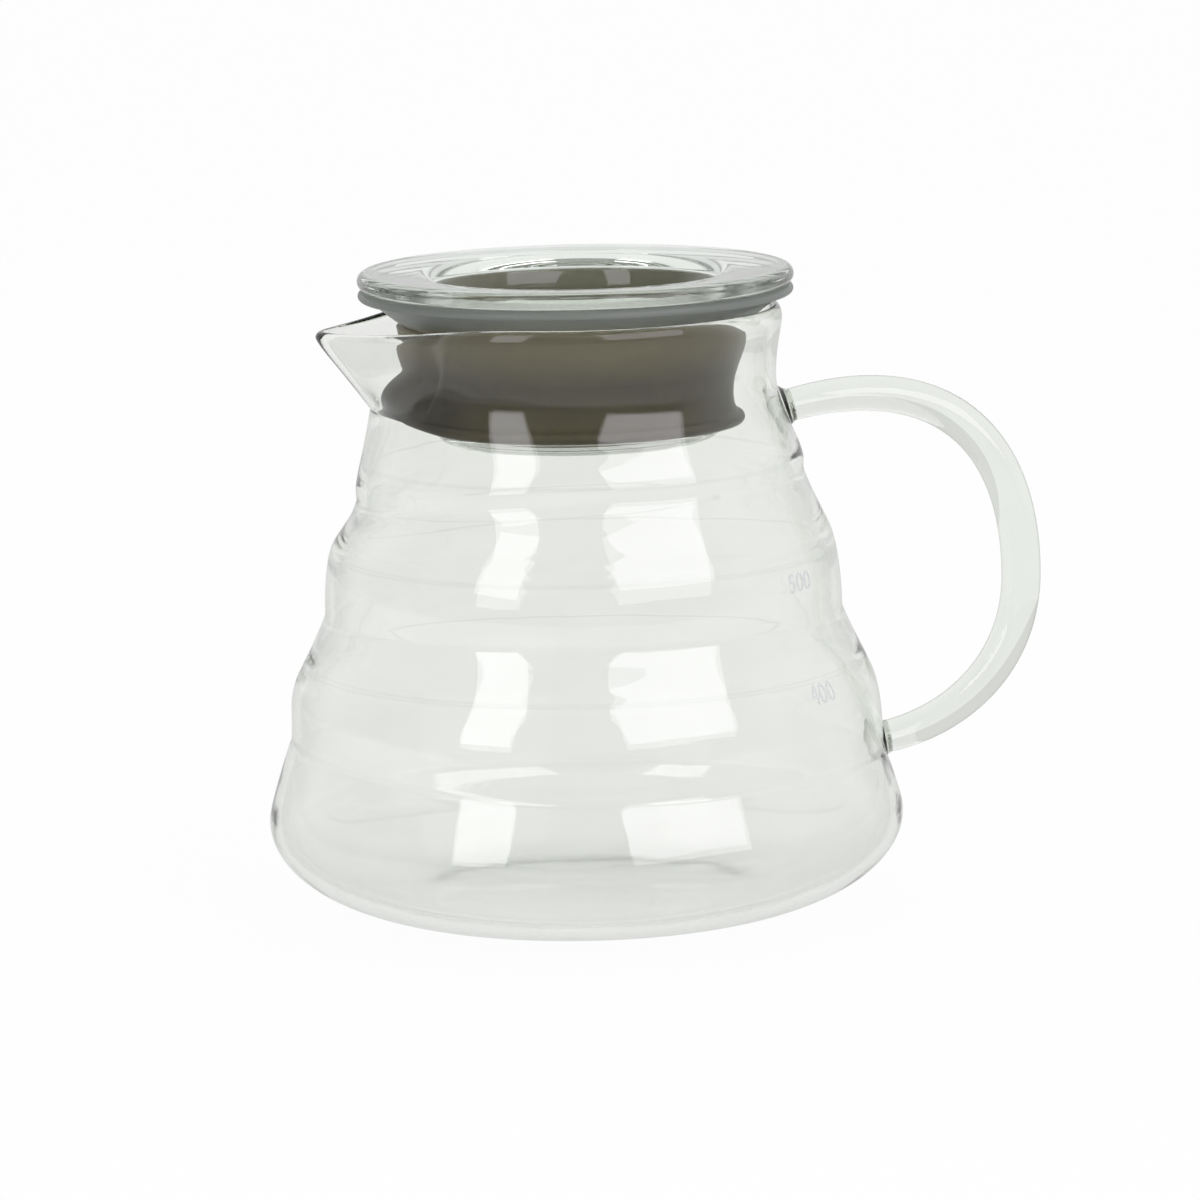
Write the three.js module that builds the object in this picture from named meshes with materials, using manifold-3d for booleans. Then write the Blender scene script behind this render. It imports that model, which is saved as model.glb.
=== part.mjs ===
// Glass coffee server: a blown pot with a stepped wall and a pulled spout, a bent glass rod for a
// handle, and a pressed glass stopper lid that wears a silicone sealing ring.
// Millimetres, +Z up. The origin is the centre of the flat foot, the handle points along +X and the
// spout along -X.

import * as THREE from "three";
import { mergeVertices } from "three/addons/utils/BufferGeometryUtils.js";
import Module from "manifold-3d";

// Pot wall: radii reach its outer face, each tier stands on the one below and the neck takes the rest
const POT_HEIGHT = 111;
const FOOT_RADIUS = 33;
const FLOOR_THICKNESS = 2.6;
const WALL_THICKNESS = 1.8;
const BELLY_RADIUS = 59;
const BELLY_HEIGHT = 17;
const BELLY_RISE = 11.6;
const LOWER_CREASE_RADIUS = 55.5;
const LOWER_TIER_HEIGHT = 26;
const MIDDLE_CREASE_RADIUS = 48.2;
const MIDDLE_TIER_HEIGHT = 25.9;
const UPPER_CREASE_RADIUS = 41.2;
const NECK_SWELL = 1.4;
const NECK_RADIUS = 36.65;
const RIM_RISE = 9;
const RIM_RADIUS = 37.9;
const RIM_BEAD = 2.3;
const CREASE_FILLET = 1.6;
const INNER_CREASE_FILLET = 3;

// Spout: its point, how far down the neck it starts and how far its lip sags below the rim
const SPOUT_REACH = 48.2;
const SPOUT_DEPTH = 16;
const SPOUT_SAG = 2.9;
const SPOUT_SAG_ANGLE = 0.79;
const SPOUT_NOSE_ANGLE = 0.09;

// Handle: a round rod, thinner at its ends, whose centre line bows out to HANDLE_REACH from the axis
const ROD_DIAMETER = 7.4;
const ROD_END_DIAMETER = 6;
const HANDLE_REACH = 83.1;
const HANDLE_BOW_HEIGHT = 58.7;
const UPPER_WELD_RISE = 11;
const UPPER_WELD_TILT = 0.247;
const LOWER_WELD_DROP = 0.3;
const LOWER_WELD_TILT = 0.149;
const WELD_LENGTH = 2.1;
const WELD_FLARE = 5;

// Lid glass: a round-edged disc over the rim and a cup that hangs into the neck
const DISC_OVERHANG = 2.26;
const DISC_THICKNESS = 3.3;
const DISC_DISH = 0.7;
const CUP_DEPTH = 28.4;
const CUP_WALL = 2.4;
const CUP_FLOOR = 2.6;
const CUP_CORNER = 4;
const CUP_SHOULDER_WIDTH = 5;
const CUP_SHOULDER_DEPTH = 7;

// Sealing ring: it fills the room between the cup and the neck, and its flange seats on the rim
const SEAL_NECK_ROOM = 2.85;
const SEAL_ROOT_WALL = 4.7;
const SEAL_WAIST_WALL = 1.4;
const SEAL_BEAD_WALL = 3.4;
const SEAL_BEAD = 2.4;
const SEAL_WAIST_RISE = 5.8;
const SEAL_FLANGE = 2.9;
const SEAL_EDGE = 1.5;
const SEAL_EDGE_INSET = 0.1;
const SEAL_CONE_SLOPE = 0.78;
const CUP_SHOW = 2.8;
const TONGUE_HEIGHT = 13;
const TONGUE_LIFT = 3.3;
const TONGUE_ROOM = 0.5;
const TONGUE_ROOT_SHARE = 0.3;
const TONGUE_NOSE_ANGLE = 0.17;

// Room left between two pieces that touch
const SEAT_GAP = 0.3;

// Heights that the pieces share
const LOWER_CREASE = BELLY_HEIGHT + BELLY_RISE;
const MIDDLE_CREASE = LOWER_CREASE + LOWER_TIER_HEIGHT;
const UPPER_CREASE = MIDDLE_CREASE + MIDDLE_TIER_HEIGHT;
const NECK = POT_HEIGHT - RIM_RISE;
const BEAD_RADIUS = RIM_BEAD / 2;
const SEAL_TOP = POT_HEIGHT + BEAD_RADIUS + SEAT_GAP + SEAL_FLANGE;
const DISC_BOTTOM = SEAL_TOP + SEAT_GAP;
const CUP_BOTTOM = DISC_BOTTOM - CUP_DEPTH;
const SEAL_BOTTOM = CUP_BOTTOM + CUP_SHOW;

// Radii that the pieces share
const DISC_RADIUS = RIM_RADIUS + DISC_OVERHANG;
const SEAL_ROOT_RADIUS = NECK_RADIUS - WALL_THICKNESS - SEAL_NECK_ROOM;
const SEAL_BORE = SEAL_ROOT_RADIUS - SEAL_ROOT_WALL;
const CUP_RADIUS = SEAL_BORE - SEAT_GAP;

// Fineness of the facets
const WALL_SEGMENTS = 48;
const LID_SEGMENTS = 40;
const OUTER_DIVISIONS = 4;
const INNER_DIVISIONS = 3;
const ROD_STEPS = 40;
const ROD_DIVISIONS = 7;

const wasm = await Module();
wasm.setup();

const point = (radius, height) => new THREE.Vector2(radius, height);

/** One closed skin: shared corners are merged and the flat triangles at a pole are dropped. */
function closedSkin(geometry) {
  const bare = geometry.clone();
  bare.deleteAttribute("normal");
  bare.deleteAttribute("uv");
  const merged = mergeVertices(bare);
  const corners = merged.index.array;
  const kept = [];
  for (let i = 0; i < corners.length; i += 3) {
    const [a, b, c] = corners.slice(i, i + 3);
    if (a !== b && b !== c && c !== a) kept.push(a, b, c);
  }
  merged.setIndex(kept);
  return merged;
}

function toSolid(geometry) {
  const skin = closedSkin(geometry);
  const vertProperties = Float32Array.from(skin.attributes.position.array);
  const triVerts = Uint32Array.from(skin.index.array);
  return new wasm.Manifold(new wasm.Mesh({ numProp: 3, vertProperties, triVerts }));
}

function fromSolid(solid) {
  const { vertProperties, triVerts } = solid.getMesh();
  const geometry = new THREE.BufferGeometry();
  geometry.setAttribute("position", new THREE.BufferAttribute(vertProperties, 3));
  geometry.setIndex(new THREE.BufferAttribute(triVerts, 1));
  return geometry;
}

/** A profile of radius and height turned once round the Z axis. */
function turned(points, segments) {
  return closedSkin(new THREE.LatheGeometry(points, segments).rotateX(Math.PI / 2));
}

/** Moves each corner of a skin, given as its angle from the spout, its radius and its height. */
function reshape(skin, move) {
  const corners = skin.attributes.position;
  for (let i = 0; i < corners.count; i += 1) {
    const x = corners.getX(i);
    const y = corners.getY(i);
    const radius = Math.hypot(x, y);
    const [newRadius, newHeight] = move(Math.atan2(y, -x), radius, corners.getZ(i));
    const scale = radius > 0 ? newRadius / radius : 1;
    corners.setXYZ(i, x * scale, y * scale, newHeight);
  }
  return skin;
}

/** Share of a beak's reach at an angle: straight sides, tangent to the round, and a rounded nose. */
function beakShare(angle, round, reach, noseAngle) {
  const halfAngle = Math.acos(round / reach);
  const turn = Math.hypot(angle, noseAngle) - noseAngle;
  if (turn >= halfAngle) return 0;
  return (round / Math.cos(halfAngle - turn) - round) / (reach - round);
}

// Pot wall

/** Rounds the corner between the side that arrives and the side that leaves towards a guide point. */
function addCrease(path, corner, leaveTowards, fillet) {
  const leave = leaveTowards.clone().sub(corner).setLength(fillet).add(corner);
  path.quadraticCurveTo(corner.x, corner.y, leave.x, leave.y);
}

/** End of a side that stops one fillet short of its corner. */
function shortOf(corner, guide, fillet) {
  return guide.clone().sub(corner).setLength(fillet).add(corner);
}

/** Half section of the wall from the axis to the rim, drawn in by an inset. */
function wallPath(inset, floor, rimInset, fillet) {
  const uprightShare = 0.4;
  const shoulderRunShare = 0.61;
  const shoulderDropShare = 0.355;
  const bellyRoundShare = 0.55;
  const neckFallShare = 0.33;
  const flareShare = 0.55;

  const path = new THREE.Path();
  const foot = FOOT_RADIUS - inset;
  path.moveTo(0, floor);
  path.lineTo(foot, floor);
  path.absellipse(foot, BELLY_HEIGHT, BELLY_RADIUS - FOOT_RADIUS, BELLY_HEIGHT - floor, -Math.PI / 2, 0);

  const lower = point(LOWER_CREASE_RADIUS - inset, LOWER_CREASE);
  const middle = point(MIDDLE_CREASE_RADIUS - inset, MIDDLE_CREASE);
  const upper = point(UPPER_CREASE_RADIUS - inset, UPPER_CREASE);
  const tiers = [
    [lower, middle],
    [middle, upper],
  ];

  const bellyRound = THREE.MathUtils.lerp(BELLY_HEIGHT, LOWER_CREASE, bellyRoundShare);
  const bellyGuide = point(BELLY_RADIUS - inset, bellyRound);
  const bellyEnd = shortOf(lower, bellyGuide, fillet);
  path.quadraticCurveTo(bellyGuide.x, bellyGuide.y, bellyEnd.x, bellyEnd.y);

  for (const [start, end] of tiers) {
    const height = end.y - start.y;
    const upright = point(start.x, start.y + uprightShare * height);
    const shoulder = point(
      end.x + shoulderRunShare * (start.x - end.x),
      end.y - shoulderDropShare * height,
    );
    const tierEnd = shortOf(end, shoulder, fillet);
    addCrease(path, start, upright, fillet);
    path.bezierCurveTo(upright.x, upright.y, shoulder.x, shoulder.y, tierEnd.x, tierEnd.y);
  }

  const waist = NECK_RADIUS - inset;
  const swell = point(upper.x + NECK_SWELL, THREE.MathUtils.lerp(UPPER_CREASE, NECK, uprightShare));
  const fall = THREE.MathUtils.lerp(NECK, UPPER_CREASE, neckFallShare);
  const flare = THREE.MathUtils.lerp(NECK, POT_HEIGHT, flareShare);
  addCrease(path, upper, swell, fillet);
  path.bezierCurveTo(swell.x, swell.y, waist, fall, waist, NECK);
  path.quadraticCurveTo(waist, flare, RIM_RADIUS - rimInset, POT_HEIGHT);
  return path;
}

const outerWall = wallPath(0, 0, 0, CREASE_FILLET).getPoints(OUTER_DIVISIONS);
const innerWall = wallPath(WALL_THICKNESS, FLOOR_THICKNESS, RIM_BEAD, INNER_CREASE_FILLET)
  .getPoints(INNER_DIVISIONS);

/** Radius of a wall at a height above the belly. */
function wallRadius(wall, height) {
  const above = wall.findIndex((corner) => corner.y >= height && corner.y > BELLY_HEIGHT);
  const [low, high] = [wall[above - 1], wall[above]];
  return THREE.MathUtils.mapLinear(height, low.y, high.y, low.x, high.x);
}

/** A weld of the handle: its place on the outer wall and the way the rod leaves it. */
function weldAt(height, tilt) {
  return {
    foot: new THREE.Vector3(wallRadius(outerWall, height), 0, height),
    way: new THREE.Vector3(Math.cos(tilt), 0, Math.sin(tilt)),
  };
}

const upperWeld = weldAt(UPPER_CREASE + UPPER_WELD_RISE, UPPER_WELD_TILT);
const lowerWeld = weldAt(LOWER_CREASE - LOWER_WELD_DROP, LOWER_WELD_TILT);

/** Flared boss that is drawn out of the wall to meet the rod's end. */
function weldBoss(weld) {
  const flareShare = 0.2;
  const rod = ROD_END_DIAMETER / 2;
  const path = new THREE.Path();
  path.moveTo(0, -WELD_LENGTH);
  path.lineTo(rod + WELD_FLARE, -WELD_LENGTH);
  path.quadraticCurveTo(rod, flareShare * WELD_LENGTH, rod, WELD_LENGTH);
  path.lineTo(0, WELD_LENGTH);
  const up = new THREE.Vector3(0, 1, 0);
  const boss = new THREE.LatheGeometry(path.getPoints(OUTER_DIVISIONS), 2 * ROD_DIVISIONS);
  boss.applyQuaternion(new THREE.Quaternion().setFromUnitVectors(up, weld.way));
  return boss.translate(weld.foot.x, weld.foot.y, weld.foot.z);
}

/** The turned wall with its neck drawn out into the spout on one side. */
function spoutedWall() {
  const bowShare = 0.75;
  const bead = new THREE.Path().absarc(RIM_RADIUS - BEAD_RADIUS, POT_HEIGHT, BEAD_RADIUS, 0, Math.PI);
  const crown = bead.getPoints(OUTER_DIVISIONS).slice(1, -1);
  const skin = turned([...outerWall, ...crown, ...innerWall.toReversed()], WALL_SEGMENTS);
  const root = POT_HEIGHT - SPOUT_DEPTH;
  return reshape(skin, (angle, radius, height) => {
    const rise = THREE.MathUtils.clamp((height - root) / SPOUT_DEPTH, 0, 1);
    const lean = rise * (1 + bowShare * (1 - rise));
    const share = beakShare(angle, RIM_RADIUS, SPOUT_REACH, SPOUT_NOSE_ANGLE);
    const turn = Math.min(1, Math.abs(angle) / SPOUT_SAG_ANGLE);
    const sag = SPOUT_SAG * (Math.cos((turn * Math.PI) / 2) * rise) ** 2;
    return [radius + share * lean * (SPOUT_REACH - RIM_RADIUS), height - sag];
  });
}

function potBody() {
  const midWall = wallPath(WALL_THICKNESS / 2, FLOOR_THICKNESS / 2, BEAD_RADIUS, CREASE_FILLET);
  const middle = midWall.getPoints(OUTER_DIVISIONS);
  const core = toSolid(turned([...middle, point(0, POT_HEIGHT)], WALL_SEGMENTS));
  const bosses = [upperWeld, lowerWeld].map((weld) => toSolid(weldBoss(weld)).subtract(core));
  return fromSolid(bosses.reduce((pot, boss) => pot.add(boss), toSolid(spoutedWall())));
}

// Handle

/** Centre line of the rod, from one seat gap off the upper boss round to the same off the lower. */
function handleLine() {
  const topRunShare = 0.65;
  const topFallShare = 0.79;
  const bottomFallShare = 0.61;
  const bottomRunShare = 0.48;
  const endAt = (weld) => weld.foot.clone().addScaledVector(weld.way, WELD_LENGTH + SEAT_GAP);
  const guideAt = (weld, end, runShare) => {
    const run = (runShare * (HANDLE_REACH - end.x)) / weld.way.x;
    return end.clone().addScaledVector(weld.way, run);
  };
  const at = (height) => new THREE.Vector3(HANDLE_REACH, 0, height);
  const start = endAt(upperWeld);
  const finish = endAt(lowerWeld);
  const bow = at(HANDLE_BOW_HEIGHT);
  const line = new THREE.CurvePath();
  line.add(new THREE.CubicBezierCurve3(
    start,
    guideAt(upperWeld, start, topRunShare),
    at(THREE.MathUtils.lerp(HANDLE_BOW_HEIGHT, start.z, topFallShare)),
    bow,
  ));
  line.add(new THREE.CubicBezierCurve3(
    bow,
    at(THREE.MathUtils.lerp(HANDLE_BOW_HEIGHT, finish.z, bottomFallShare)),
    guideAt(lowerWeld, finish, bottomRunShare),
    finish,
  ));
  return line;
}

/** Thins a rod from its middle towards both ends, ring by ring about its centre line. */
function tapered(skin, centres) {
  const corners = skin.attributes.position;
  const corner = new THREE.Vector3();
  const end = ROD_END_DIAMETER / ROD_DIAMETER;
  for (let i = 0; i < corners.count; i += 1) {
    corner.fromBufferAttribute(corners, i);
    const distances = centres.map((centre) => centre.distanceToSquared(corner));
    const ring = distances.indexOf(Math.min(...distances));
    const along = ring / (centres.length - 1);
    const scale = THREE.MathUtils.lerp(end, 1, Math.sin(along * Math.PI));
    corner.sub(centres[ring]).multiplyScalar(scale).add(centres[ring]);
    corners.setXYZ(i, corner.x, corner.y, corner.z);
  }
  return skin;
}

function handle() {
  const line = handleLine();
  const section = new THREE.Shape().absarc(0, 0, ROD_DIAMETER / 2, 0, 2 * Math.PI);
  const bar = new THREE.ExtrudeGeometry(section, {
    steps: ROD_STEPS,
    curveSegments: ROD_DIVISIONS,
    extrudePath: line,
    bevelEnabled: false,
  });
  return tapered(closedSkin(bar), line.getSpacedPoints(ROD_STEPS));
}

// Lid

function lidGlass() {
  const edge = DISC_THICKNESS / 2;
  const top = DISC_BOTTOM + DISC_THICKNESS;
  const bore = CUP_RADIUS - CUP_WALL;
  const floor = CUP_BOTTOM + CUP_FLOOR;
  const innerCorner = CUP_CORNER - CUP_WALL;
  const shoulder = bore + CUP_SHOULDER_WIDTH;
  const dish = top - DISC_DISH;
  const path = new THREE.Path();
  path.moveTo(0, CUP_BOTTOM);
  path.lineTo(CUP_RADIUS - CUP_CORNER, CUP_BOTTOM);
  path.absarc(CUP_RADIUS - CUP_CORNER, CUP_BOTTOM + CUP_CORNER, CUP_CORNER, -Math.PI / 2, 0);
  path.lineTo(CUP_RADIUS, DISC_BOTTOM);
  path.lineTo(DISC_RADIUS - edge, DISC_BOTTOM);
  path.absarc(DISC_RADIUS - edge, DISC_BOTTOM + edge, edge, -Math.PI / 2, Math.PI / 2);
  path.lineTo(shoulder, dish);
  path.quadraticCurveTo(bore, dish, bore, dish - CUP_SHOULDER_DEPTH);
  path.lineTo(bore, floor + innerCorner);
  path.absarc(bore - innerCorner, floor + innerCorner, innerCorner, 0, -Math.PI / 2, true);
  path.lineTo(0, floor);
  return turned(path.getPoints(INNER_DIVISIONS), LID_SEGMENTS);
}

// Sealing ring

/** Height of the flange's cone at a radius, one seat gap clear of the rim's bead. */
function coneHeight(radius) {
  const clear = (BEAD_RADIUS + SEAT_GAP) * Math.hypot(1, SEAL_CONE_SLOPE);
  return POT_HEIGHT + clear + SEAL_CONE_SLOPE * (radius - RIM_RADIUS + BEAD_RADIUS);
}

function lidSeal() {
  const beadTurn = 0.3 * Math.PI;
  const waistRiseShare = 0.4;
  const rootFallShare = 0.3;
  const rootRunShare = 0.7;
  const tongueFlareShare = 0.6;
  const edge = SEAL_EDGE / 2;
  const bead = SEAL_BEAD / 2;
  const tip = DISC_RADIUS - SEAL_EDGE_INSET - edge;
  const waist = SEAL_BORE + SEAL_WAIST_WALL;
  const waistHeight = SEAL_BOTTOM + SEAL_WAIST_RISE;
  const rootHeight = coneHeight(SEAL_ROOT_RADIUS);
  const edgeBottom = SEAL_TOP - SEAL_EDGE;
  const coneTop = SEAL_ROOT_RADIUS + (edgeBottom - rootHeight) / SEAL_CONE_SLOPE;
  const beadRadius = SEAL_BORE + SEAL_BEAD_WALL;
  const wallHeight = rootHeight - waistHeight;
  const rootGuide = point(
    THREE.MathUtils.lerp(waist, SEAL_ROOT_RADIUS, rootRunShare),
    rootHeight - rootFallShare * wallHeight,
  );
  const path = new THREE.Path();
  path.moveTo(SEAL_BORE, SEAL_BOTTOM);
  path.lineTo(beadRadius - bead, SEAL_BOTTOM);
  path.absarc(beadRadius - bead, SEAL_BOTTOM + bead, bead, -Math.PI / 2, beadTurn);
  path.quadraticCurveTo(waist, SEAL_BOTTOM + SEAL_BEAD, waist, waistHeight);
  const waistGuide = waistHeight + waistRiseShare * wallHeight;
  path.bezierCurveTo(waist, waistGuide, rootGuide.x, rootGuide.y, SEAL_ROOT_RADIUS, rootHeight);
  path.lineTo(Math.min(coneTop, tip), edgeBottom);
  path.lineTo(tip, edgeBottom);
  path.absarc(tip, edgeBottom + edge, edge, -Math.PI / 2, Math.PI / 2);
  path.lineTo(SEAL_BORE, SEAL_TOP);
  path.lineTo(SEAL_BORE, SEAL_BOTTOM);
  const skin = turned(path.getPoints(INNER_DIVISIONS), LID_SEGMENTS);

  const tongueReach = wallRadius(innerWall, SEAL_BOTTOM + TONGUE_LIFT) - TONGUE_ROOM;
  const tongueTop = SEAL_BOTTOM + TONGUE_HEIGHT;
  return reshape(skin, (angle, radius, height) => {
    if (height > rootHeight) return [radius, height];
    const fall = THREE.MathUtils.clamp((tongueTop - height) / TONGUE_HEIGHT / tongueFlareShare, 0, 1);
    const flare = Math.max(TONGUE_ROOT_SHARE, Math.sin((fall * Math.PI) / 2));
    const cover = THREE.MathUtils.clamp((radius - SEAL_BORE) / SEAL_WAIST_WALL, 0, 1);
    const share = cover * beakShare(angle, beadRadius, tongueReach, TONGUE_NOSE_ANGLE);
    const lift = Math.max(0, 1 - (height - SEAL_BOTTOM) / SEAL_WAIST_RISE) * TONGUE_LIFT;
    return [radius + share * flare * (tongueReach - radius), height + share * lift];
  });
}

// Assembly

const glass = new THREE.MeshStandardMaterial({ color: 0xdfe8e3, roughness: 0.03, metalness: 0 });
const silicone = new THREE.MeshStandardMaterial({ color: 0x5c5a52, roughness: 0.45, metalness: 0 });

const server = new THREE.Group();
const pieces = [
  ["pot_body", potBody(), glass],
  ["handle", handle(), glass],
  ["lid_seal", lidSeal(), silicone],
  ["lid_glass", lidGlass(), glass],
];
for (const [name, geometry, material] of pieces) {
  geometry.computeVertexNormals();
  const mesh = new THREE.Mesh(geometry, material);
  mesh.name = name;
  server.add(mesh);
}

export default server;
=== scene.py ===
"""Looks of a glass coffee server with a stopper lid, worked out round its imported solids.

The frame is the part's own, in metres: +Z up, the handle along +X, the spout along -X and the origin
at the middle of the flat foot. Sizes are written in millimetres, as on a drawing. Each surface is a
grid of points worked out from two parameters: a place along a profile or a path, and an angle round
it.
"""

import logging
import math
from collections.abc import Sequence
from dataclasses import dataclass, field
from enum import Enum
from functools import partial

import bpy
import numpy as np
from bpy.types import ID, Material, Node, NodeSocket, NodeTree, Object
from mathutils import Euler, Matrix
from numpy.typing import NDArray


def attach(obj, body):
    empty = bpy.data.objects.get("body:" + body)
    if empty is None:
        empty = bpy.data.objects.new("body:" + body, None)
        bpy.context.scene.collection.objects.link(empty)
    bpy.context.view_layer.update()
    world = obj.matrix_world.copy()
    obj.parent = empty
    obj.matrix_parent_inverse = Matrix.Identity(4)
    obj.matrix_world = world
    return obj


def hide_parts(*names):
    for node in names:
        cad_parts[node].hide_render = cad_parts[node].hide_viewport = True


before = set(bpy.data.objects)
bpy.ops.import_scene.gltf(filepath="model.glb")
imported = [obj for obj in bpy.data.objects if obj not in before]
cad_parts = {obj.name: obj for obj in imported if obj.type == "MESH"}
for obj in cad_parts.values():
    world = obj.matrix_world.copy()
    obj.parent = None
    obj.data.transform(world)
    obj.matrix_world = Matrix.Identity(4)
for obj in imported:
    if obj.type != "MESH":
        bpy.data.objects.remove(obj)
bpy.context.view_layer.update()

Array = NDArray[np.float64]
Point = tuple[float, float]

MM = 0.001
WHITE = "#FFFFFF"

# Inputs of the Mix node that carry colours
MIX_A, MIX_B = 6, 7

# Lengths in millimetres that count as none
TINY = 1e-6

# Points on a corner, a line, a plain curve, the seal's waist, and a short and a long run of the wall,
# before a section's rows are chosen among them
CORNER_RUN, LINE_RUN, CURVE_RUN, WAIST_RUN, SHORT_RUN, LONG_RUN = 12, 24, 48, 72, 200, 400

# How much closer the rows stand at a bend, the limit of that, and how much near a given height
BEND_GAIN, BEND_LIMIT, NEAR_GAIN = 4.0, 5.0, 4.0

# Half widths in radians of the closer columns at spout and handle, and the points of their sum
SPOUT_BELL, HANDLE_BELL, TURN_POINTS = 0.25, 0.16, 4001

log = logging.getLogger("coffee_server")


class Body(Enum):
    """Moving bodies that the pieces ride on."""

    POT = "pot"
    SEAL = "seal"
    LID = "lid"


class Slot(Enum):
    """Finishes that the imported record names."""

    GLASS = "glass"
    LID_GLASS = "lid_glass"
    SILICONE = "silicone"


class Ends(Enum):
    """How a grid closes along its first direction: in two points, or back on itself."""

    POLES = "poles"
    RING = "ring"


def linear(code: str) -> tuple[float, float, float, float]:
    """Turns an sRGB hex colour to linear light, channel by channel, by the sRGB curve.

    Args:
        code: Colour as "#rrggbb".

    Returns:
        Red, green, blue and full opacity.
    """
    channels = np.array([int(code[i : i + 2], 16) for i in (1, 3, 5)]) / 255
    curve = ((channels + 0.055) / 1.055) ** 2.4
    red, green, blue = np.where(channels <= 0.04045, channels / 12.92, curve).tolist()
    return red, green, blue, 1.0


def add_node(
    tree: NodeTree,
    kind: str,
    settings: dict[str | int, object] | None = None,
    links: dict[str | int, Node | NodeSocket] | None = None,
) -> Node:
    """Adds a node with its settings and links.

    Args:
        tree: Node tree that gets the node.
        kind: Kind of node, by Blender's name without "ShaderNode".
        settings: Values by input name or number, or by the node's own property.
        links: Output sockets, or nodes for their output in use, by the input that they feed.

    Returns:
        The new node.
    """
    node = tree.nodes.new(f"ShaderNode{kind}")
    for name, value in (settings or {}).items():
        if isinstance(name, int) or name in node.inputs:
            node.inputs[name].default_value = value
        else:
            setattr(node, name, value)
    for name, source in (links or {}).items():
        outputs = [source] if isinstance(source, NodeSocket) else source.outputs
        tree.links.new(next(socket for socket in outputs if socket.enabled), node.inputs[name])
    return node


def new_material(name: str) -> tuple[Material, NodeTree]:
    """Makes an empty node material.

    Args:
        name: What the material is.

    Returns:
        The material and its cleared node tree.
    """
    material = bpy.data.materials.new(name)
    material.use_nodes = True
    material.node_tree.nodes.clear()
    return material, material.node_tree


def fill(tree: NodeTree, surface: Node, colour: str, density: float) -> None:
    """Ends a clear material: its skin, and a depth that takes on a colour by its density per metre."""
    depth = add_node(tree, "VolumeAbsorption", {"Color": linear(colour), "Density": density})
    add_node(tree, "OutputMaterial", None, {"Surface": surface, "Volume": depth})


def new_object(name: str, data: ID) -> Object:
    """Makes an object at the origin and links it to the scene.

    Args:
        name: Name of the object.
        data: Its mesh, text, light or camera.

    Returns:
        The object.
    """
    made = bpy.data.objects.new(name, data)
    bpy.context.scene.collection.objects.link(made)
    return made


def bezier(guides: Sequence[Point | Array], count: int = CURVE_RUN) -> Array:
    """Points on a Bezier curve: guide points times their Bernstein weights, summed.

    Args:
        guides: Two guide points for a line, three for a quadratic curve, four for a cubic one.
        count: How many points, ends included.

    Returns:
        One row of radius and height for each point.
    """
    degree = len(guides) - 1
    along = np.linspace(0.0, 1.0, count)[:, None]
    powers = np.arange(degree + 1)
    choices = np.array([math.comb(degree, k) for k in range(degree + 1)])
    weights = choices * along**powers * (1 - along) ** (degree - powers)
    return weights @ np.asarray(guides, float)


def arc(centre: Point, radii: Point, start: float, stop: float, count: int = CURVE_RUN) -> Array:
    """Points on an ellipse, with angles in half turns: centre plus radii times cosine and sine."""
    angle = np.linspace(start, stop, count) * math.pi
    return np.column_stack([centre[0] + radii[0] * np.cos(angle), centre[1] + radii[1] * np.sin(angle)])


def towards(corner: Point, guide: Point, distance: float) -> Array:
    """Point at a distance from a corner on the straight line to a guide point."""
    step = np.subtract(guide, corner)
    return np.asarray(corner) + step * distance / np.linalg.norm(step)


def bell(value: Array, middle: Array | float, width: float) -> Array:
    """Bell curve: e to the minus square of the distance from its middle in half widths."""
    return np.exp(-(((value - middle) / width) ** 2))


def spread(path: Array, count: int, near: Sequence[Point] = ()) -> Array:
    """Chooses points along a path, closer together where it bends and near given heights.

    A weight of 1, plus the bend per millimetre up to a limit, plus a bell round each given height, is
    summed along the path's length. The points stand at equal steps of that sum.

    Args:
        path: Rows of radius and height.
        count: How many points to choose, ends included.
        near: Pairs of a height and the half width of its bell.

    Returns:
        The chosen rows of radius and height.
    """
    steps = np.diff(path, axis=0)
    kept = np.concatenate([[True], np.linalg.norm(steps, axis=1) > TINY])
    path = path[kept]
    steps = np.diff(path, axis=0)
    lengths = np.linalg.norm(steps, axis=1)
    heading = np.unwrap(np.arctan2(steps[:, 1], steps[:, 0]))
    bend = np.abs(np.gradient(heading)) / lengths
    middle = (path[1:, 1] + path[:-1, 1]) / 2
    weight = 1 + np.minimum(BEND_GAIN * bend, BEND_LIMIT)
    for height, width in near:
        weight = weight + NEAR_GAIN * bell(middle, height, width)
    load = np.concatenate([[0.0], np.cumsum(lengths * weight)])
    wanted = np.linspace(0.0, load[-1], count)
    return np.column_stack([np.interp(wanted, load, column) for column in path.T])


def spread_angles(count: int, spout_gain: float, handle_gain: float) -> Array:
    """Angles once round from the spout, closer together at the spout and at the handle.

    The density is 1 plus a bell at angle 0 and a bell at half a turn. The angles stand at equal steps
    of its running sum.

    Args:
        count: How many angles.
        spout_gain: Height of the bell at the spout.
        handle_gain: Height of the bell at the handle.

    Returns:
        Angles from minus half a turn to half a turn, in one row.
    """
    fine = np.linspace(0.0, 2 * math.pi, TURN_POINTS)
    from_spout = np.minimum(fine, 2 * math.pi - fine)
    density = (
        1
        + spout_gain * bell(from_spout, 0.0, SPOUT_BELL)
        + handle_gain * bell(from_spout, math.pi, HANDLE_BELL)
    )
    load = np.concatenate([[0.0], np.cumsum((density[1:] + density[:-1]) / 2)])
    angles = np.interp(np.linspace(0.0, load[-1], count, endpoint=False), load, fine)
    return ((angles + math.pi) % (2 * math.pi) - math.pi)[None, :]


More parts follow.
